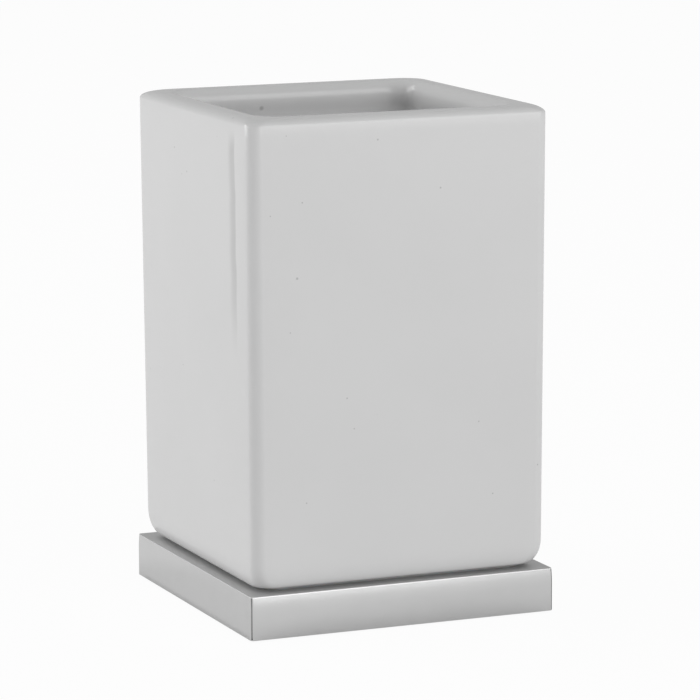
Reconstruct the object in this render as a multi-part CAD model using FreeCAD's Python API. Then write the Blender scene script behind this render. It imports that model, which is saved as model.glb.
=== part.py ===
"""Square ceramic bathroom tumbler that lifts off a chromed base, in millimetres with +Z up.

The origin is at the middle of the plane that the four feet stand on. X runs along the front face.
"""
import FreeCAD, Part
import math
import os

# Base: a folded and polished metal cover over a moulded insert
base_side = 70.8
base_height = 9.4
cover_sheet = 1.2
cover_upright_radius = 0.5
cover_top_radius = 0.25
insert_clearance = 0.15
insert_recess = 0.4
insert_bevel = 0.5

# Feet: soft buttons in round pockets under the insert
foot_diameter = 11.0
foot_proud = 0.5
foot_pocket_depth = 1.6
foot_pocket_clearance = 0.2
foot_edge_radius = 0.35
foot_from_side = 12.4

# Tumbler: outer form, set back a little from the sides of the base
tumbler_height = 100.7
tumbler_top_setback = 0.8
tumbler_bottom_setback = 1.3
upright_radius = 2.8
bottom_inset = 2.0
bottom_rise = 5.7
bottom_corner_radius = 5.0

# Tumbler: rim, wall and cavity
rim_outer_inset = 2.8
rim_outer_drop = 1.7
rim_corner_radius = 6.0
rim_flat = 0.5
rim_inner_radius = 2.6
cavity_corner_radius = 6.5
cavity_floor_inset = 5.0
cavity_floor_rise = 7.0
cavity_floor_corner_radius = 9.0
floor_thickness = 6.0

# Tumbler: unglazed foot ring with a hollow inside it
ring_land = 3.0
ring_depth = 2.0

# Seat mat: a thin soft plate with a raised middle that the foot ring drops over
mat_thickness = 0.8
mat_setback = 2.0
locator_height = 1.3
locator_clearance = 0.5
locator_bevel = 0.4

# How finely the roundings are drawn, and how far cutting tools overrun
rounding_steps = 6
cut_overrun = 1.0

# Faces count as level with a height within this share of their shape's own height
match_share = 1e-5

# Heights and sizes that follow from the values above
cover_bottom = foot_proud
cover_top = cover_bottom + base_height
insert_bottom = cover_bottom + insert_recess
insert_side = base_side - 2 * (cover_sheet + insert_clearance)
foot_radius = foot_diameter / 2
foot_place = base_side / 2 - foot_from_side
mat_top = cover_top + mat_thickness
tumbler_bottom = mat_top
tumbler_top = tumbler_bottom + tumbler_height
tumbler_top_side = base_side - 2 * tumbler_top_setback
tumbler_bottom_side = base_side - 2 * tumbler_bottom_setback
wall = rim_outer_inset + rim_flat + rim_inner_radius
cavity_top_side = tumbler_top_side - 2 * wall
cavity_bottom_side = tumbler_bottom_side - 2 * wall
ring_side = tumbler_bottom_side - 2 * bottom_inset
hollow_side = ring_side - 2 * ring_land
hollow_corner_radius = bottom_corner_radius - ring_land
cavity_floor = tumbler_bottom + ring_depth + floor_thickness
mouth_corner_radius = cavity_corner_radius + rim_inner_radius


def rounded_square(side, corner_radius, height):
    """Closed outline of a square with round corners, centred on the Z axis."""
    half = side / 2
    straight = half - corner_radius
    middle = straight + corner_radius * math.cos(math.pi / 4)
    corner = [(half, -straight), (half, straight), (middle, middle), (straight, half)]
    edges = []
    for quarter in range(4):
        turn = FreeCAD.Rotation(FreeCAD.Vector(0, 0, 1), 90 * quarter)
        start, bend, bend_middle, end = [turn.multVec(FreeCAD.Vector(x, y, height)) for x, y in corner]
        edges.append(Part.LineSegment(start, bend).toShape())
        edges.append(Part.Arc(bend, bend_middle, end).toShape())
    return Part.Wire(edges)


def rounded_block(side, corner_radius, low, high):
    """Upright block with a rounded square plan."""
    outline = Part.Face(rounded_square(side, corner_radius, low))
    return outline.extrude(FreeCAD.Vector(0, 0, high - low))


def square_block(side, low, high):
    """Upright block with a plain square plan."""
    corner = FreeCAD.Vector(-side / 2, -side / 2, low)
    return Part.makeBox(side, side, high - low, corner)


def rounding(side, upright, inset, level_corner, level, rise):
    """Outlines from a level face out to an upright wall, along a quarter of an ellipse.

    The wall has this side and upright corner radius; at the level face the outline is drawn in by
    inset, or spread for a negative one, and its corners have their own radius.
    """
    outlines = []
    for step in range(rounding_steps + 1):
        turn = math.pi / 2 * (1 - step / rounding_steps)
        drawn_in = 1 - math.cos(turn)
        width = side - 2 * inset * drawn_in
        corner = upright + (level_corner - upright) * drawn_in
        outlines.append(rounded_square(width, corner, level + rise * (1 - math.sin(turn))))
    return outlines


def column(lower, upper):
    """Solid through a lower rounding, straight walls and an upper rounding."""
    walls = Part.makeLoft([lower[-1], upper[-1]], True, True)
    return walls.fuse([Part.makeLoft(outlines, True, False) for outlines in (lower, upper)])


def level_face(shape, height):
    """The largest face that lies level at this height."""
    slack = shape.BoundBox.ZLength * match_share
    level = []
    for face in shape.Faces:
        span = face.BoundBox
        if span.ZLength < slack and abs(span.ZMin - height) < slack:
            level.append(face)
    return max(level, key=lambda face: face.Area)


def make_tumbler():
    """Glazed cup: rounded column with a cavity, a softened rim and a foot ring."""
    body = column(
        rounding(tumbler_bottom_side, upright_radius, bottom_inset, bottom_corner_radius,
                 tumbler_bottom, bottom_rise),
        rounding(tumbler_top_side, upright_radius, rim_outer_inset, rim_corner_radius,
                 tumbler_top, -rim_outer_drop))
    cavity = column(
        rounding(cavity_bottom_side, cavity_corner_radius, cavity_floor_inset,
                 cavity_floor_corner_radius, cavity_floor, cavity_floor_rise),
        rounding(cavity_top_side, cavity_corner_radius, -rim_inner_radius, mouth_corner_radius,
                 tumbler_top, -rim_inner_radius))
    mouth = rounded_block(cavity_top_side + 2 * rim_inner_radius, mouth_corner_radius,
                          tumbler_top, tumbler_top + cut_overrun)
    hollow = rounded_block(hollow_side, hollow_corner_radius, tumbler_bottom - cut_overrun,
                           tumbler_bottom + ring_depth)
    return body.cut(cavity.fuse(mouth)).cut(hollow)


def make_seat_mat():
    """Soft plate on the base, with a raised middle inside the foot ring."""
    plate = rounded_block(ring_side - 2 * mat_setback, bottom_corner_radius - mat_setback,
                          cover_top, mat_top)
    locator_top = mat_top + locator_height
    locator = rounded_block(hollow_side - 2 * locator_clearance,
                            hollow_corner_radius - locator_clearance, cover_top, locator_top)
    locator = locator.makeChamfer(locator_bevel, level_face(locator, locator_top).OuterWire.Edges)
    return plate.fuse(locator)


def make_base_cover():
    """Chromed cover: top sheet and four sides, open below."""
    block = rounded_block(base_side, cover_upright_radius, cover_bottom, cover_top)
    block = block.makeFillet(cover_top_radius, level_face(block, cover_top).OuterWire.Edges)
    inside = square_block(base_side - 2 * cover_sheet, cover_bottom - cut_overrun,
                          cover_top - cover_sheet)
    return block.cut(inside)


def foot_places():
    """Name and plan position of each foot."""
    places = {}
    for depth_name, depth_side in (("front", -1), ("back", 1)):
        for width_name, width_side in (("left", -1), ("right", 1)):
            name = "foot_" + depth_name + "_" + width_name
            places[name] = FreeCAD.Vector(width_side * foot_place, depth_side * foot_place, 0)
    return places


def make_base_insert():
    """Moulded insert that fills the cover, with a round pocket for each foot."""
    insert = square_block(insert_side, insert_bottom, cover_top - cover_sheet)
    insert = insert.makeChamfer(insert_bevel, level_face(insert, insert_bottom).OuterWire.Edges)
    pocket = Part.makeCylinder(foot_radius + foot_pocket_clearance, foot_pocket_depth + cut_overrun)
    for place in foot_places().values():
        pocket.Placement.Base = place + FreeCAD.Vector(0, 0, insert_bottom - cut_overrun)
        insert = insert.cut(pocket)
    return insert


def make_foot(place):
    """Soft button, level on top against its pocket and rounded at its lower edge."""
    foot = Part.makeCylinder(foot_radius, insert_bottom + foot_pocket_depth, place)
    return foot.makeFillet(foot_edge_radius, level_face(foot, 0).OuterWire.Edges)


pieces = {
    "tumbler": make_tumbler(),
    "seat_mat": make_seat_mat(),
    "base_cover": make_base_cover(),
    "base_insert": make_base_insert(),
}
for foot_name, foot_position in foot_places().items():
    pieces[foot_name] = make_foot(foot_position)

os.makedirs("parts", exist_ok=True)
for name, shape in pieces.items():
    solid = shape.removeSplitter()
    solid.exportStep("parts/" + name + ".step")
    box = solid.BoundBox
    print(name, "valid", solid.isValid(), "solids", len(solid.Solids), "volume", round(solid.Volume, 1),
          "z", round(box.ZMin, 3), round(box.ZMax, 3), "x", round(box.XMin, 3), round(box.XMax, 3))
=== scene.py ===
# %% [markdown]
# # A bathroom tumbler on its chromed base
# The real object is a slip-cast ceramic cup, square with soft edges, under a white glaze. It stands loose
# on a low base: a polished metal cover over a moulded insert, with four rubber feet below and a thin
# silicone mat on top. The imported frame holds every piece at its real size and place, so this lesson
# gives each one its finished shape and its surface.

# %% Load the frame
import bmesh
import bpy
from math import cos, pi, radians, sin
from mathutils import Matrix, Vector


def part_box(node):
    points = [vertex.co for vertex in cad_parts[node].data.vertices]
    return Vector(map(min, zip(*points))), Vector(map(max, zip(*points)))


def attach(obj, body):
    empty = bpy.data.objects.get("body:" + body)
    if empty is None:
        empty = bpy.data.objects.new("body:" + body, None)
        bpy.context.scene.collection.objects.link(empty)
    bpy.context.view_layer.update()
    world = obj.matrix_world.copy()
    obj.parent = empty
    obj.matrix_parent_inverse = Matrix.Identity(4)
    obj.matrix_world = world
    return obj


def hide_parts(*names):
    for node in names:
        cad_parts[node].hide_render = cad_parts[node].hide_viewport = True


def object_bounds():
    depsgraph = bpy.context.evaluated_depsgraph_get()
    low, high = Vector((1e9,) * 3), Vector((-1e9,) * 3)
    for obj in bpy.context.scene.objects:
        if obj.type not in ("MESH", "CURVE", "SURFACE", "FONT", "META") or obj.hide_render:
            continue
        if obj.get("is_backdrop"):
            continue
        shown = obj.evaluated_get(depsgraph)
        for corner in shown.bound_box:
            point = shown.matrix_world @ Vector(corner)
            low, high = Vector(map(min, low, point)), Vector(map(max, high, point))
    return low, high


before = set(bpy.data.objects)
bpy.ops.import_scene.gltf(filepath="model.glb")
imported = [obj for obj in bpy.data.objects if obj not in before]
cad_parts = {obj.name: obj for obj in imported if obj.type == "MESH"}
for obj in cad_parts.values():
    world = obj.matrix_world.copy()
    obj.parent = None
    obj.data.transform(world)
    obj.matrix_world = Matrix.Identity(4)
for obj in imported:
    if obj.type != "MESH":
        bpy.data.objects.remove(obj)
cad_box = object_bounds()
MM = 0.001


def node_box(node):
    """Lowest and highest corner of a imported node."""
    return tuple(Vector(corner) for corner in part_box(node))


cup_low, cup_high = node_box("tumbler")
print("cup", [round(side / MM, 2) for side in cup_high - cup_low], "mm")

# %% [markdown]
# ## Rings for the cup
# A cast cup has a plan that is a square with round corners. A box with bevelled edges would come close,
# but the corners of this cup get rounder towards the rim and the foot, and a bevel keeps one radius.
# So the cup starts as one ring of edges that is extruded again and again, and each new ring is laid out
# as the next station of the cup's profile: half a side, a corner radius and a height.

# %% Lay out and extrude rings
def ring_point(station, cuts, half, corner_radius):
    """Place on a rounded square of this half side: a straight side, then a corner, four times over."""
    side_cuts, corner_cuts = cuts
    quarter, step = divmod(station, side_cuts + corner_cuts)
    straight = half - corner_radius
    if step < side_cuts:
        point = Vector((half, straight * (2 * step / side_cuts - 1), 0))
    else:
        angle = (step - side_cuts) / corner_cuts * pi / 2
        point = Vector((straight + corner_radius * cos(angle), straight + corner_radius * sin(angle), 0))
    point.rotate(Matrix.Rotation(quarter * pi / 2, 3, "Z"))
    return point


def extruded_rings(profile, cuts):
    """Closed bmesh through the stations of a profile, with so many cuts along a side and a corner."""
    shape = bmesh.new()
    place = shape.verts.layers.int.new("place")
    bmesh.ops.create_circle(shape, cap_ends=False, radius=profile[0][0], segments=4 * sum(cuts))
    for count, vert in enumerate(shape.verts):
        vert[place] = count
    verts = shape.verts[:]
    edges = shape.edges[:]
    for number, (half, corner_radius, height) in enumerate(profile):
        if number:
            grown = bmesh.ops.extrude_edge_only(shape, edges=edges)["geom"]
            verts = [part for part in grown if isinstance(part, bmesh.types.BMVert)]
            links = [part for part in grown if isinstance(part, bmesh.types.BMEdge)]
            edges = [edge for edge in links if set(verts).issuperset(edge.verts)]
        for vert in verts:
            vert.co = ring_point(vert[place], cuts, half, corner_radius) + Vector((0, 0, height))
    bmesh.ops.holes_fill(shape, edges=[edge for edge in shape.edges if edge.is_boundary], sides=0)
    bmesh.ops.recalc_face_normals(shape, faces=shape.faces)
    return shape


# %% Stations along bends and straight runs
def bend(start, end, steps, upright_first):
    """Stations along a quarter of an ellipse that leaves start upright, or else level."""
    stations = []
    for step in range(1, steps + 1):
        angle = step / steps * pi / 2
        level = 1 - cos(angle) if upright_first else sin(angle)
        rise = sin(angle) if upright_first else 1 - cos(angle)
        half, corner = (start[i] + (end[i] - start[i]) * level for i in (0, 1))
        stations.append((half, corner, start[2] + (end[2] - start[2]) * rise))
    return stations


def run(start, end, steps):
    """Stations evenly spaced on a straight stretch, without its start."""
    shares = [step / steps for step in range(1, steps + 1)]
    return [tuple(a + (b - a) * share for a, b in zip(start, end)) for share in shares]


def sway(start, end, steps):
    """Stations from one upright stretch over to another, in a soft double bend."""
    stations = []
    for half, corner, height in run(start, end, steps):
        share = (1 - cos(pi * (height - start[2]) / (end[2] - start[2]))) / 2
        stations.append((start[0] + (end[0] - start[0]) * share, corner, height))
    return stations


# %% [markdown]
# ## The cup
# Slip casting leaves walls of one thickness, and the glaze rounds every edge a little more. The profile
# runs from the middle of the hollow under the cup, over the foot ring, up the outside, across the rim
# and down the inside to the middle of the floor. Slip gathers at the rim as the mould drains, so the lip
# bulges inward by a hair before the inner wall runs straight down.

# %% Sizes of the cup
upright_radius = 2.8 * MM
foot_inset, foot_rise, foot_corner = 2.0 * MM, 5.7 * MM, 5.0 * MM
rim_inset, rim_drop, rim_corner = 2.8 * MM, 1.7 * MM, 6.0 * MM
rim_flat, lip_inset, lip_drop = 1.3 * MM, 1.8 * MM, 3.1 * MM
lip_bulge, lip_tail = 0.6 * MM, 3.8 * MM
cavity_corner, floor_corner = 5.0 * MM, 9.0 * MM
floor_inset, floor_rise, floor_thickness = 5.0 * MM, 7.0 * MM, 6.0 * MM
ring_land, ring_depth, ring_edge = 3.0 * MM, 2.0 * MM, 0.6 * MM
bottom_setback = 0.5 * MM
middle = 1.0 * MM
cup_cuts = (24, 12)

top_half = cup_high.x
bottom_half = top_half - bottom_setback
wall = rim_inset + rim_flat + lip_inset
ring_half = bottom_half - foot_inset
hollow_half = ring_half - ring_land
hollow_corner = foot_corner - ring_land
hollow_top = cup_low.z + ring_depth
cavity_floor = hollow_top + floor_thickness
print("wall", round(wall / MM, 2), "mm, foot ring", round(2 * ring_half / MM, 2), "mm wide")


# %% Profile of the cup
def cup_underside():
    """Stations from the middle of the hollow to the outer edge of the foot ring."""
    ceiling_edge = (hollow_half - ring_edge, hollow_corner, hollow_top)
    wall_top = (hollow_half, hollow_corner, hollow_top - ring_edge)
    wall_low = (hollow_half, hollow_corner, cup_low.z + ring_edge)
    land_inner = (hollow_half + ring_edge, hollow_corner + ring_edge, cup_low.z)
    land_outer = (ring_half, foot_corner, cup_low.z)
    stations = [(middle, middle / 2, hollow_top)]
    stations += run(stations[0], ceiling_edge, 6) + bend(ceiling_edge, wall_top, 4, upright_first=False)
    stations += run(wall_top, wall_low, 2) + bend(wall_low, land_inner, 4, upright_first=True)
    return stations + run(land_inner, land_outer, 4)


def cup_outside(land_outer):
    """Stations from the foot ring up to the flat of the rim."""
    wall_foot = (bottom_half, upright_radius, cup_low.z + foot_rise)
    wall_top = (top_half, upright_radius, cup_high.z - rim_drop)
    rim_start = (top_half - rim_inset, rim_corner, cup_high.z)
    stations = bend(land_outer, wall_foot, 14, upright_first=False) + run(wall_foot, wall_top, 40)
    return stations + bend(wall_top, rim_start, 12, upright_first=True)


def cup_inside(rim_start):
    """Stations from the flat of the rim down to the middle of the floor."""
    mouth = (rim_start[0] - rim_flat, cavity_corner + lip_inset, cup_high.z)
    lip = (top_half - wall - lip_bulge, cavity_corner, cup_high.z - lip_drop)
    wall_top = (top_half - wall, cavity_corner, lip[2] - lip_tail)
    wall_foot = (bottom_half - wall, cavity_corner, cavity_floor + floor_rise)
    floor_edge = (bottom_half - wall - floor_inset, floor_corner, cavity_floor)
    stations = run(rim_start, mouth, 3) + bend(mouth, lip, 12, upright_first=False)
    stations += sway(lip, wall_top, 10) + run(wall_top, wall_foot, 30)
    stations += bend(wall_foot, floor_edge, 12, upright_first=True)
    return stations + run(floor_edge, (middle, middle / 2, cavity_floor), 8)


cup_profile = cup_underside()
cup_profile += cup_outside(cup_profile[-1])
cup_profile += cup_inside(cup_profile[-1])
print("cup profile", len(cup_profile), "stations")


# %% Cast the cup
def finished_piece(name, shape, body, slot, *nodes):
    """Mesh object from a bmesh, tied to its body and standing for the nodes that it hides; the slot is not
    used.
    """
    mesh = bpy.data.meshes.new(name)
    shape.to_mesh(mesh)
    shape.free()
    piece = bpy.data.objects.new(name, mesh)
    bpy.context.scene.collection.objects.link(piece)
    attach(piece, body)
    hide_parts(*nodes)
    print(name, len(mesh.vertices), "vertices", len(mesh.polygons), "faces")
    return piece


cup_shape = extruded_rings(cup_profile, cup_cuts)
for face in cup_shape.faces:
    face.smooth = True
cup = finished_piece("ceramic_tumbler", cup_shape, "cup", "glazed_ceramic", "tumbler")

# %% [markdown]
# ## The chromed cover
# The cover is folded from sheet and polished. Its faces are flat and its edges crisp, so here a cube with
# bevels is the plain way: the underside is inset by the sheet's thickness and pushed up, and then the
# outer edges get their small radius. Polishing also rolls the top of each side over a little, so planes
# cut the sides near the top and the cuts are drawn in. The folded sides meet in a fine seam at each
# corner, a facet of the corner's bevel that is pushed in and coloured dark as painted shade in the slot.
# Only the soft bends are shaded smooth.

# %% Blocks and their edges
same_place = 1e-9


def block(low, high):
    """Bmesh block between two corners."""
    shape = bmesh.new()
    bmesh.ops.create_cube(shape, size=1, matrix=Matrix.LocRotScale((low + high) / 2, None, high - low))
    return shape


def round_edges(shape, edges, radius, segments):
    """Bevels the edges with a round profile."""
    bmesh.ops.bevel(shape, geom=edges, offset=radius, offset_type="OFFSET", affect="EDGES",
                    segments=segments, profile=0.5, material=-1, clamp_overlap=True)


def upright_edges(shape):
    """The edges that run straight up."""
    return [edge for edge in shape.edges if (edge.verts[0].co - edge.verts[1].co).xy.length < same_place]


def pushed_face(shape, face, inset, push):
    """Insets a face and moves its middle up or down. Returns the middle."""
    bmesh.ops.inset_region(shape, faces=[face], thickness=inset, use_even_offset=True)
    moved = bmesh.ops.extrude_discrete_faces(shape, faces=[face])["faces"][0]
    bmesh.ops.translate(shape, verts=moved.verts, vec=(0, 0, push))
    return moved


def lowest_face(shape):
    """The face whose middle lies lowest."""
    return min(shape.faces, key=lambda face: face.calc_center_median().z)


def highest_face(shape):
    """The face whose middle lies highest."""
    return max(shape.faces, key=lambda face: face.calc_center_median().z)


# %% Sizes of the cover, and its cuts and seams
cover_sheet, cover_upright, cover_edge = 1.2 * MM, 0.7 * MM, 0.04 * MM
seam_depth, seam_end, seam_facing = 0.7 * MM, 0.2 * MM, 0.7
roll_height, roll_cuts = 3.6 * MM, 12
roll_depth = Vector((0.06 * MM, 0.255 * MM))
soft_bend = radians(15)
cover_low, cover_high = node_box("base_cover")
roll_start = cover_high.z - roll_height


def cut_level(shape, height):
    """Cuts a shape all round at this height."""
    everything = shape.verts[:] + shape.edges[:] + shape.faces[:]
    bmesh.ops.bisect_plane(shape, geom=everything, plane_co=(0, 0, height), plane_no=(0, 0, 1))


def is_seam(face):
    """Whether a face looks squarely out of a corner, between the two ends of a seam."""
    height = face.calc_center_median().z
    between = cover_low.z + seam_end < height < cover_high.z - seam_end
    return between and min(abs(face.normal.x), abs(face.normal.y)) > seam_facing


# %% Fold the cover
cover_shape = block(cover_low, cover_high)
cover_corners = upright_edges(cover_shape)
pushed_face(cover_shape, lowest_face(cover_shape), cover_sheet, cover_high.z - cover_low.z - cover_sheet)
round_edges(cover_shape, cover_corners, cover_upright, segments=3)
cut_level(cover_shape, cover_low.z + seam_end)
cut_level(cover_shape, cover_high.z - seam_end)
seam_faces = [face for face in cover_shape.faces if is_seam(face)]
for face in seam_faces:
    seam = bmesh.ops.extrude_discrete_faces(cover_shape, faces=[face])["faces"][0]
    bmesh.ops.translate(cover_shape, verts=seam.verts, vec=seam.normal * -seam_depth)
    # The faces round each seam take the second, dark material: painted shade in the slot.
    for part in {part for edge in seam.edges for part in edge.link_faces}:
        part.material_index = 1
print("cover with", len(seam_faces), "corner seams")

# %% Roll the top edge over and shade the bends
for cut in range(roll_cuts):
    cut_level(cover_shape, roll_start + roll_height * cut / roll_cuts)
for vert in cover_shape.verts:
    rolled = 1 - cos(pi / 2 * max(0, (vert.co.z - roll_start) / roll_height))
    vert.co.xy *= Vector((1, 1)) - roll_depth * rolled / cover_high.x
round_edges(cover_shape, list(highest_face(cover_shape).edges), cover_edge, segments=2)
for face in cover_shape.faces:
    face.smooth = True
for edge in cover_shape.edges:
    edge.smooth = edge.calc_face_angle() < soft_bend
cover = finished_piece("chrome_cover", cover_shape, "stand", "polished_chrome", "base_cover")

# %% [markdown]
# ## The silicone mat
# A thin soft plate lies between metal and ceramic, so that the cup neither rattles nor scratches the
# chrome. Its raised middle keeps the foot ring in place. It is a block with round corners whose top face
# is inset and pushed up, with a shallow dish in the middle, as moulded mats have to save material.

# %% Mould the mat
mat_setback, mat_thickness, mat_edge = 2.0 * MM, 0.8 * MM, 0.2 * MM
locator_clearance, locator_bevel, dish_border, dish_depth = 0.5 * MM, 0.4 * MM, 1.2 * MM, 0.5 * MM
mat_low, mat_high = node_box("seat_mat")
plate_top = mat_low.z + mat_thickness
square_on = 0.99999


def smooth_leaning_faces(shape):
    """Shades faces smooth, apart from those that face squarely along an axis."""
    for face in shape.faces:
        face.smooth = max(abs(part) for part in face.normal) < square_on


mat_shape = block(mat_low, Vector((mat_high.x, mat_high.y, plate_top)))
round_edges(mat_shape, upright_edges(mat_shape), foot_corner - mat_setback, segments=12)
plate_edges = list(highest_face(mat_shape).edges)
locator_inset = mat_high.x - (hollow_half - locator_clearance)
locator = pushed_face(mat_shape, highest_face(mat_shape), locator_inset, mat_high.z - plate_top)
locator_edges = list(locator.edges)
pushed_face(mat_shape, locator, dish_border, -dish_depth)
round_edges(mat_shape, plate_edges, mat_edge, segments=3)
round_edges(mat_shape, locator_edges, locator_bevel, segments=4)
smooth_leaning_faces(mat_shape)
mat = finished_piece("silicone_mat", mat_shape, "stand", "seat_silicone", "seat_mat")

# %% [markdown]
# ## The rubber feet
# Each foot is a soft button pressed into a pocket under the insert. Two shallow grooves in its sole make
# it grip a wet shelf. A capped circle is extruded down, its lower edge is rounded, and insets that are
# pushed up and down by turns leave the grooves.

# %% Mould the feet
foot_segments, foot_edge = 48, 0.35 * MM
groove_count, groove_depth, groove_width, sole_border = 2, 0.3 * MM, 0.7 * MM, 0.9 * MM


def foot_shape(low, high):
    """Bmesh of one button with its grooved sole."""
    shape = bmesh.new()
    centre = Vector(((low.x + high.x) / 2, (low.y + high.y) / 2, high.z))
    bmesh.ops.create_circle(shape, cap_ends=True, radius=(high.x - low.x) / 2, segments=foot_segments,
                            matrix=Matrix.Translation(centre))
    grown = bmesh.ops.extrude_face_region(shape, geom=shape.faces[:])["geom"]
    lower = [part for part in grown if isinstance(part, bmesh.types.BMVert)]
    bmesh.ops.translate(shape, verts=lower, vec=(0, 0, low.z - high.z))
    bmesh.ops.recalc_face_normals(shape, faces=shape.faces)
    round_edges(shape, list(lowest_face(shape).edges), foot_edge, segments=4)
    sole = lowest_face(shape)
    for _ in range(groove_count):
        groove = pushed_face(shape, sole, sole_border, groove_depth)
        sole = pushed_face(shape, groove, groove_width, -groove_depth)
    smooth_leaning_faces(shape)
    return shape


feet = []
for node in ("foot_front_left", "foot_front_right", "foot_back_left", "foot_back_right"):
    feet.append(finished_piece("rubber_" + node, foot_shape(*node_box(node)), "stand", "foot_rubber", node))

# %% [markdown]
# ## Camera
# The camera stands where the photograph was taken from: a little to the left of the front, slightly
# above, and far off with a long lens, so the upright edges run almost parallel.

# %% Camera
camera_azimuth, camera_elevation, camera_roll = radians(22.72), radians(9.675), radians(-0.272)
camera_distance, camera_side_shift, camera_height = 898.06 * MM, 2.206 * MM, 55.24 * MM
frame_width_px, focal_px = 700, 4060.7

back = Vector((-sin(camera_azimuth) * cos(camera_elevation),
               -cos(camera_azimuth) * cos(camera_elevation), sin(camera_elevation)))
level_right = Vector((cos(camera_azimuth), -sin(camera_azimuth), 0))
level_up = back.cross(level_right)
right = level_right * cos(camera_roll) + level_up * sin(camera_roll)
up = level_up * cos(camera_roll) - level_right * sin(camera_roll)
stand_point = level_right * camera_side_shift + Vector((0, 0, camera_height)) + back * camera_distance
lens = bpy.data.cameras.new("photo_camera")
lens.lens = lens.sensor_width * focal_px / frame_width_px
lens.clip_start, lens.clip_end = 0.01, 50.0
camera = bpy.data.objects.new("photo_camera", lens)
camera.matrix_world = Matrix.Translation(stand_point) @ Matrix((right, up, back)).transposed().to_4x4()
scene = bpy.context.scene
scene.collection.objects.link(camera)
scene.camera = camera
print("lens", round(lens.lens, 1), "mm at", round(camera_distance, 3), "m")

# %% [markdown]
# ## Nodes in short
# Floor, world and finishes are all made of shader nodes. Five small helpers keep that readable: they
# give a socket a value or a link, add a node and fill its inputs, work out a sum, ease an amount from
# one level to another, and choose an amount by the kind of ray that asks for it.

# %% Helpers for nodes
def give(tree, socket, value):
    """Links another node's output to a socket, or sets a plain value on it."""
    if isinstance(value, bpy.types.NodeSocket):
        tree.links.new(value, socket)
    else:
        socket.default_value = value


def add_node(tree, kind, inputs, **settings):
    """Adds a node of this kind with its settings, and gives each named input its value."""
    node = tree.nodes.new("ShaderNode" + kind)
    for name, value in settings.items():
        setattr(node, name, value)
    for name, value in inputs.items():
        give(tree, node.inputs[name], value)
    return node


def worked_out(tree, operation, *values):
    """Result of a Math node on plain values or sockets."""
    node = add_node(tree, "Math", {}, operation=operation)
    for socket, value in zip(node.inputs, values):
        give(tree, socket, value)
    return node.outputs["Value"]


def eased(tree, value, start, end, low=0.0, high=1.0):
    """Smooth step that goes from low to high while the value goes from start to end."""
    ends = {"Value": value, "From Min": start, "From Max": end, "To Min": low, "To Max": high}
    return add_node(tree, "MapRange", ends, interpolation_type="SMOOTHSTEP").outputs["Result"]


def by_ray(tree, other, seen, mirror_gain):
    """Amount that the camera and glass see, or else the other one, which mirrors see raised by a gain."""
    ray = add_node(tree, "LightPath", {}).outputs
    amount = worked_out(tree, "MULTIPLY_ADD", ray["Is Camera Ray"], seen - other, other)
    amount = worked_out(tree, "MULTIPLY_ADD", ray["Is Transmission Ray"], seen - other, amount)
    return worked_out(tree, "MULTIPLY_ADD", ray["Is Glossy Ray"], mirror_gain, amount)


# %% [markdown]
# ## Studio
# The photograph shows the cup on pure white, lit from two sides: a strong soft box behind the left and a
# wider, weaker one in front on the right. The corner between the two faces and the rim stay a little
# darker, so not much light comes from above. The white is not made with more light: the floor and the
# world only look white to the camera and, in part, to mirroring surfaces. Close to the front of the base
# the floor lies in shade, which the chrome mirrors as a darker foot.

# %% World and soft boxes
scene.view_settings.view_transform = "Standard"
world = bpy.data.worlds.new("studio")
world.use_nodes = True
scene.world = world
backdrop = world.node_tree.nodes["Background"]
backdrop.inputs["Color"].default_value = (1, 1, 1, 1)
world_dim, world_white, world_mirrored = 0.33, 1.0, 0.5
give(world.node_tree, backdrop.inputs["Strength"],
     by_ray(world.node_tree, world_dim, world_white, world_mirrored - world_dim))
box_distance = 1.2


def soft_box(name, azimuth, elevation, width, height, radiance):
    """Soft light that faces the cup from this azimuth (0 is the front) and elevation."""
    light = bpy.data.lights.new(name, "AREA")
    light.shape = "RECTANGLE"
    light.size, light.size_y = width, height
    light.energy = radiance * pi * width * height
    toward = Vector((sin(azimuth) * cos(elevation), -cos(azimuth) * cos(elevation), sin(elevation)))
    lamp = bpy.data.objects.new(name, light)
    aim = Vector((0, 0, (cup_low.z + cup_high.z) / 2))
    facing = toward.to_track_quat("Z", "Y").to_matrix().to_4x4()
    lamp.matrix_world = Matrix.Translation(aim + toward * box_distance) @ facing
    scene.collection.objects.link(lamp)
    print(name, round(light.energy, 2), "W")


soft_box("left_box", radians(-125), radians(17), width=1.1, height=0.9, radiance=2.42)
soft_box("right_box", radians(22), radians(17), width=1.3, height=0.8, radiance=1.98)

# %% Floor
floor_half, floor_drop = 4.0, 0.02 * MM
floor_shape = bmesh.new()
bmesh.ops.create_grid(floor_shape, x_segments=1, y_segments=1, size=floor_half,
                      matrix=Matrix.Translation((0, 0, -floor_drop)))
floor_mesh = bpy.data.meshes.new("floor")
floor_shape.to_mesh(floor_mesh)
floor_shape.free()
floor = bpy.data.objects.new("floor", floor_mesh)
scene.collection.objects.link(floor)
print("floor", 2 * floor_half, "m wide")

# %% Paint of the floor
floor_tone, floor_white, floor_mirrored = 0.85, 0.96, 0.7
shade_reach, shade_power = 30 * MM, 2.0
lit_from, lit_soft, lit_share = cover_low.x, 3 * MM, 0.73
floor_paint = bpy.data.materials.new("pale_floor")
floor_paint.use_nodes = True
floor.data.materials.append(floor_paint)
tree = floor_paint.node_tree
matt = tree.nodes["Principled BSDF"]
matt.inputs["Base Color"].default_value = (floor_tone, floor_tone, floor_tone, 1)
matt.inputs["Roughness"].default_value = 1.0
matt.inputs["Specular IOR Level"].default_value = 0.0
open_share = add_node(tree, "AmbientOcclusion", {"Distance": shade_reach}).outputs["AO"]
shade = worked_out(tree, "POWER", open_share, shade_power)
place = add_node(tree, "SeparateXYZ", {"Vector": add_node(tree, "TexCoord", {}).outputs["Object"]})
lit_left = eased(tree, place.outputs["X"], lit_from, lit_from - lit_soft, 0.0, lit_share)
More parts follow.
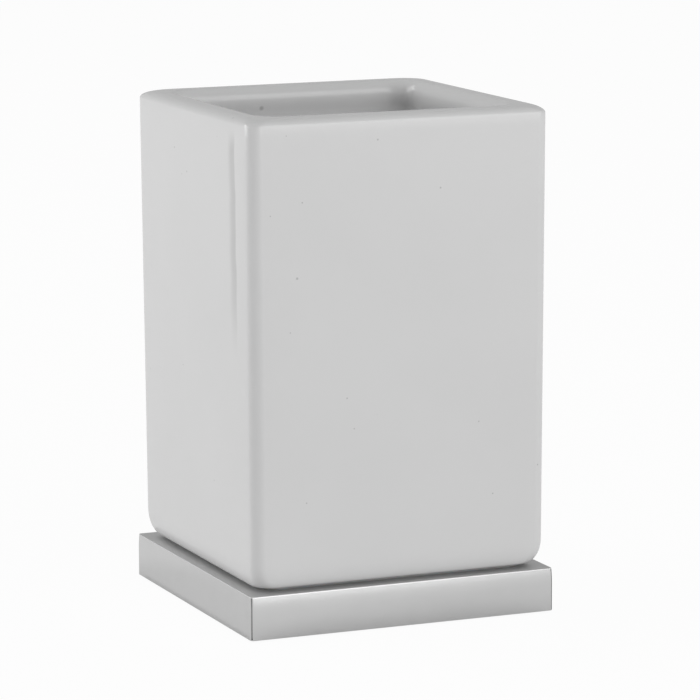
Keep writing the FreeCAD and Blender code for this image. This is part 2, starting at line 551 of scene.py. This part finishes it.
mirrored = worked_out(tree, "MULTIPLY", worked_out(tree, "MAXIMUM", shade, lit_left), floor_mirrored)
glow = add_node(tree, "Emission", {"Color": (1, 1, 1, 1), "Strength": 1.0}).outputs["Emission"]
mix = add_node(tree, "MixShader", {"Fac": by_ray(tree, 0.0, floor_white, mirrored)})
give(tree, mix.inputs[1], matt.outputs["BSDF"])
give(tree, mix.inputs[2], glow)
give(tree, tree.nodes["Material Output"].inputs["Surface"], mix.outputs["Shader"])
floor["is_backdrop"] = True
print("pale_floor", len(tree.nodes), "nodes")

# %% [markdown]
# ## Glaze
# The glaze is a white glass coat on a pale body. It is glossy, its tone drifts by a hair where it lies
# thicker, and small pinholes stay where gas came out in the kiln; their darker tone is painted shade in
# the pits. A faint vertical streak on the left side, near the front corner, is a painted reflection: a
# darker band in the tone for a dark reflection in a ripple of the glaze. The foot ring is wiped clean
# before firing, so it is bare and matt. All of this is a matter of tone and gloss, so nodes on Object
# coordinates do it, in metres.

# %% Start of a paint
def new_paint(name, *pieces):
    """Gives the pieces a new material. Returns its tree, its shader and its Object coordinates."""
    paint = bpy.data.materials.new(name)
    paint.use_nodes = True
    for piece in pieces:
        piece.data.materials.clear()
        piece.data.materials.append(paint)
    places = add_node(paint.node_tree, "TexCoord", {}).outputs["Object"]
    return paint.node_tree, paint.node_tree.nodes["Principled BSDF"], places


noise_low, noise_high = 0.3, 0.7


def cloudy(tree, places, size, low, high, detail=2.0):
    """Amount between low and high that wanders over patches of this size."""
    patches = add_node(tree, "TexNoise", {"Vector": places, "Scale": 1 / size, "Detail": detail})
    return eased(tree, patches.outputs["Fac"], noise_low, noise_high, low, high)


def grey(tree, amount):
    """Colour of equal parts from one amount."""
    return add_node(tree, "CombineColor", {"Red": amount, "Green": amount, "Blue": amount}).outputs["Color"]


def relief(tree, shader, height, depth):
    """Fine relief of this depth for a shader, from heights between 0 and 1."""
    bump = add_node(tree, "Bump", {"Height": height, "Strength": 1.0, "Distance": depth})
    give(tree, shader.inputs["Normal"], bump.outputs["Normal"])


# %% Tone of the glaze, with its painted reflection streak and pinholes of painted shade
glaze_tone, tone_drift, tone_patch = 0.78, 0.006, 30 * MM
left_side, streak_wander, streak_patch, streak_darkening = -33 * MM, 0.5 * MM, 16 * MM, 0.2
# Each row: an axis, where the painted streak starts along it and where it has come to its full strength
streak_edges_mm = (("Y", -26.3, -25.6), ("Y", -21.6, -24.5), ("Z", 58, 80), ("Z", 109, 104))
pinhole_cell, pinhole_radius, pinhole_core, pinhole_painted_shade = 6.5 * MM, 0.24 * MM, 0.4, 0.3
clear_core = 0.3
# Each row: the place and the radius of a pinhole that stands out
clear_pinholes_mm = ((-24, -34.4, 77.5, 0.4), (-5.5, -34.5, 106, 0.3), (9, -34.5, 95, 0.3),
                     (-34.5, 10.5, 101, 0.3), (-34.5, 3, 96.5, 0.3), (-7, 28.6, 106.5, 0.8),
                     (-33.7, -23.5, 110.6, 0.5))

tree, glaze, places = new_paint("white_glaze", cup)
along = add_node(tree, "SeparateXYZ", {"Vector": places}).outputs
tone = cloudy(tree, places, tone_patch, glaze_tone - tone_drift, glaze_tone + tone_drift)

upward = add_node(tree, "Mapping", {"Vector": places, "Scale": (0, 0, 1)}).outputs["Vector"]
wander = cloudy(tree, upward, streak_patch, -streak_wander, streak_wander)
streak_place = {"Y": worked_out(tree, "ADD", along["Y"], wander), "Z": along["Z"]}
# Painted reflection: a darker vertical band on the left side stands in for a dark reflection in a ripple of
# the glaze.
painted_reflection_streak = worked_out(tree, "LESS_THAN", along["X"], left_side)
for axis, outside, inside in streak_edges_mm:
    edge = eased(tree, streak_place[axis], outside * MM, inside * MM)
    painted_reflection_streak = worked_out(tree, "MULTIPLY", painted_reflection_streak, edge)
tone = worked_out(tree, "MULTIPLY", tone, worked_out(tree, "MULTIPLY_ADD", painted_reflection_streak, -streak_darkening, 1.0))

cells = add_node(tree, "TexVoronoi", {"Vector": places, "Scale": 1 / pinhole_cell}).outputs["Distance"]
hole_share = pinhole_radius / pinhole_cell
pinhole = eased(tree, cells, hole_share, pinhole_core * hole_share)
for *place_mm, radius_mm in clear_pinholes_mm:
    away = add_node(tree, "VectorMath", {0: places, 1: Vector(place_mm) * MM}, operation="DISTANCE")
    hole = eased(tree, away.outputs["Value"], radius_mm * MM, clear_core * radius_mm * MM)
    pinhole = worked_out(tree, "MAXIMUM", pinhole, hole)
# Painted shade: the tone darkens in each pinhole as if shade lay in the pit.
tone = worked_out(tree, "MULTIPLY", tone, worked_out(tree, "MULTIPLY_ADD", pinhole, -pinhole_painted_shade, 1.0))
print("tone of the glaze with", len(clear_pinholes_mm), "clear pinholes")

# %% Gloss of the glaze, and the bare foot ring
bare_tone, bare_rough, bare_rise, bare_soft = 0.66, 0.85, 0.25 * MM, 0.2 * MM
glaze_rough, rough_drift, rough_patch = 0.19, 0.02, 9 * MM
peel_patch, peel_depth, pinhole_depth = 4 * MM, 0.002 * MM, 3.0
bare = eased(tree, along["Z"], cup_low.z + bare_rise + bare_soft, cup_low.z + bare_rise)
tone = worked_out(tree, "MULTIPLY_ADD", worked_out(tree, "SUBTRACT", bare_tone, tone), bare, tone)
give(tree, glaze.inputs["Base Color"], grey(tree, tone))
gloss = cloudy(tree, places, rough_patch, glaze_rough - rough_drift, glaze_rough + rough_drift)
rough = worked_out(tree, "MAXIMUM", gloss, worked_out(tree, "MULTIPLY", bare, bare_rough))
give(tree, glaze.inputs["Roughness"], rough)
peel = cloudy(tree, places, peel_patch, 0, 1)
relief(tree, glaze, worked_out(tree, "MULTIPLY_ADD", pinhole, -pinhole_depth, peel), peel_depth)
print("white_glaze", len(tree.nodes), "nodes")

# %% [markdown]
# ## Chrome
# Chrome over polished metal mirrors what stands around it. Buffing leaves hair-fine lines along the
# strokes and patches that are a trace duller, and the top, where the cup is put down again and again, is
# worn to a satin. So the shader is plain metal, with a roughness that wanders over patches and stretched
# lines and rises on the top. The seams at the corners are coloured dark as painted shade in their slots.

# %% Chrome
# Tones, roughness and grain are each the size of a patch and the two ends of what wanders there
chrome_tones, chrome_rough = (5 * MM, 0.615, 0.625), (9 * MM, 0.16, 0.175)
line_width, line_stretch, line_rough, line_depth = 0.25 * MM, 0.04, 0.01, 0.0002 * MM
worn_start, worn_full, worn_rough = 0.1 * MM, 0.05 * MM, 0.42
tree, chrome, places = new_paint("polished_chrome", cover)
chrome.inputs["Metallic"].default_value = 1.0
stretch = (line_stretch, line_stretch, 1)
strokes = add_node(tree, "Mapping", {"Vector": places, "Scale": stretch}).outputs["Vector"]
lines = cloudy(tree, strokes, line_width, 0, 1)
patches = cloudy(tree, places, *chrome_rough)
height = add_node(tree, "SeparateXYZ", {"Vector": places}).outputs["Z"]
worn = eased(tree, height, cover_high.z - worn_start, cover_high.z - worn_full, 0.0, worn_rough)
polish = worked_out(tree, "MULTIPLY_ADD", lines, line_rough, patches)
give(tree, chrome.inputs["Roughness"], worked_out(tree, "ADD", polish, worn))
give(tree, chrome.inputs["Base Color"], grey(tree, cloudy(tree, places, *chrome_tones)))
relief(tree, chrome, lines, line_depth)
print("polished_chrome", len(tree.nodes), "nodes")

# %% Dark seam of painted shade
seam_shade_tones, seam_shade_rough = (0.5 * MM, 0.03, 0.07), 0.8
tree, seam_shade_paint, places = new_paint("painted_seam_shade")
seam_shade_paint.inputs["Roughness"].default_value = seam_shade_rough
give(tree, seam_shade_paint.inputs["Base Color"], grey(tree, cloudy(tree, places, *seam_shade_tones)))
cover.data.materials.append(bpy.data.materials["painted_seam_shade"])
print("painted_seam_shade", len(tree.nodes), "nodes")

# %% [markdown]
# ## Silicone, rubber and moulded plastic
# These three are matt. Silicone is cloudy and lets light in a little. The rubber of the feet and the
# insert come out of moulds with an eroded, grainy skin, and the rubber carries some pale dust on that
# grain.

# %% Silicone mat
silicone_tones, silicone_rough = (5 * MM, 0.44, 0.5), (1.2 * MM, 0.42, 0.58)
silicone_grain, silicone_relief = (0.35 * MM, 0, 1), 0.01 * MM
light_share, light_reach = 0.3, 0.4 * MM
tree, silicone, places = new_paint("grey_silicone", mat)
silicone.inputs["Subsurface Weight"].default_value = light_share
silicone.inputs["Subsurface Scale"].default_value = light_reach
give(tree, silicone.inputs["Base Color"], grey(tree, cloudy(tree, places, *silicone_tones)))
give(tree, silicone.inputs["Roughness"], cloudy(tree, places, *silicone_rough))
relief(tree, silicone, cloudy(tree, places, *silicone_grain), silicone_relief)
print("grey_silicone", len(tree.nodes), "nodes")

# %% Rubber feet
dust_tones, dust_detail, dust_rough = (1.6 * MM, 0.035, 0.075), 6.0, 2.0
rubber_rough, rubber_grain, rubber_relief = 0.62, (0.3 * MM, 0, 1), 0.02 * MM
tree, rubber, places = new_paint("foot_rubber", *feet)
dust = cloudy(tree, places, *dust_tones, dust_detail)
give(tree, rubber.inputs["Base Color"], grey(tree, dust))
give(tree, rubber.inputs["Roughness"], worked_out(tree, "MULTIPLY_ADD", dust, dust_rough, rubber_rough))
relief(tree, rubber, cloudy(tree, places, *rubber_grain), rubber_relief)
print("foot_rubber", len(tree.nodes), "nodes")

# %% Moulded insert
insert_tones, insert_rough = (12 * MM, 0.19, 0.23), (2 * MM, 0.5, 0.66)
insert_grain, insert_detail, insert_relief = (0.4 * MM, 0, 1), 4.0, 0.03 * MM
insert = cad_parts["base_insert"]
tree, moulded, places = new_paint("moulded_insert", insert)
give(tree, moulded.inputs["Base Color"], grey(tree, cloudy(tree, places, *insert_tones)))
give(tree, moulded.inputs["Roughness"], cloudy(tree, places, *insert_rough))
relief(tree, moulded, cloudy(tree, places, *insert_grain, insert_detail), insert_relief)
print("moulded_insert", len(tree.nodes), "nodes")

# %% [markdown]
# ## Measure
# The finishes and fine forms must not change the size of the object. So the box round all finished
# pieces is printed beside the box of the imported frame.

# %% Sizes and finish
boxes = {"cad": cad_box, "visual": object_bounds()}
for name, (low, high) in boxes.items():
    print(name, [round((end - start) / MM, 2) for start, end in zip(low, high)], "mm")
